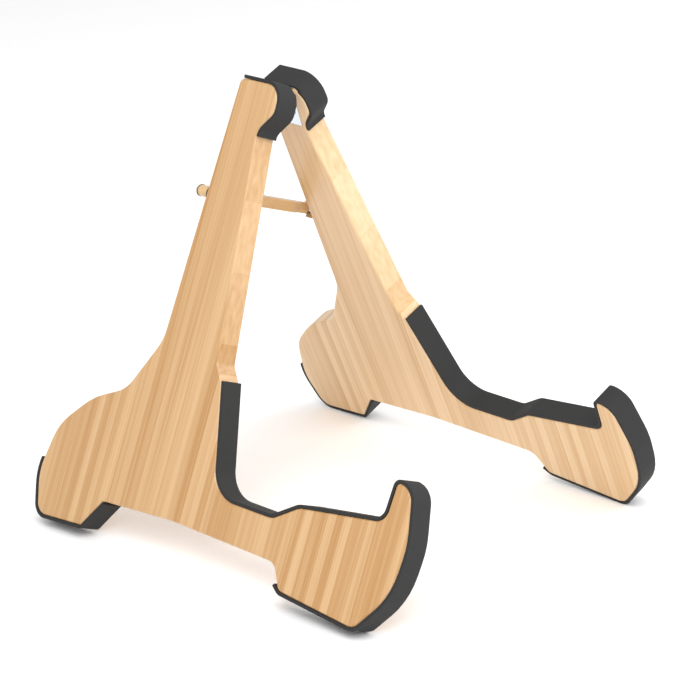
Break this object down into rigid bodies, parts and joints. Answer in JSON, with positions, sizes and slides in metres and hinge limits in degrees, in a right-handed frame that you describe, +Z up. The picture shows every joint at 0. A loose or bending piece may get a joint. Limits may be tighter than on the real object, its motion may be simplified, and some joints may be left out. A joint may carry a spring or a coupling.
{
  "type": "guitar stand",
  "caption": "Folding A-frame guitar stand: two shaped wooden side panels hinged at the top, padded cradle arms and a swinging stay.",
  "frame": {"origin": "middle of the bounding box, on the floor", "axes": "+Z up, -Y towards the cradle arms, X across the two panels"},
  "size_m": [0.2744, 0.318, 0.2843],
  "materials": {
    "bamboo": "gloss lacquer",
    "foam": "matt",
    "nickel": "plated",
    "steel": "plated",
    "nylon": "matt"
  },
  "bodies": {
    "left_side": {"left_panel": "bamboo", "left_upper_pad": "foam", "left_cradle_pad": "foam", "left_rear_foot_pad": "foam", "hinge_leaf_left": "nickel", "hinge_screw_left_1": "steel", "hinge_screw_left_2": "steel", "hinge_pin": "nickel", "stay_pivot_screw": "steel", "stay_washer": "nylon"},
    "right_side": {"right_panel": "bamboo", "right_upper_pad": "foam", "right_cradle_pad": "foam", "right_rear_foot_pad": "foam", "hinge_leaf_right": "nickel", "hinge_screw_right_1": "steel", "hinge_screw_right_2": "steel", "catch_screw": "steel"},
    "stay": {"stay_arm": "bamboo"}
  },
  "joints": [
    {"name": "fold", "type": "hinge", "parent": "left_side", "child": "right_side", "pos_m": [0, -0.0304, 0.27048], "axis": [0, 0.9978, 0.0656], "range_deg": [0, 46]},
    {"name": "stay_swing", "type": "hinge", "parent": "left_side", "child": "stay", "pos_m": [-0.03789, -0.02614, 0.20573], "axis": [0, 0.9978, 0.0656], "range_deg": [0, 92]}
  ],
  "couplings": [
    {"joint": "stay_swing", "follows": "fold", "ratio": 1.96}
  ]
}
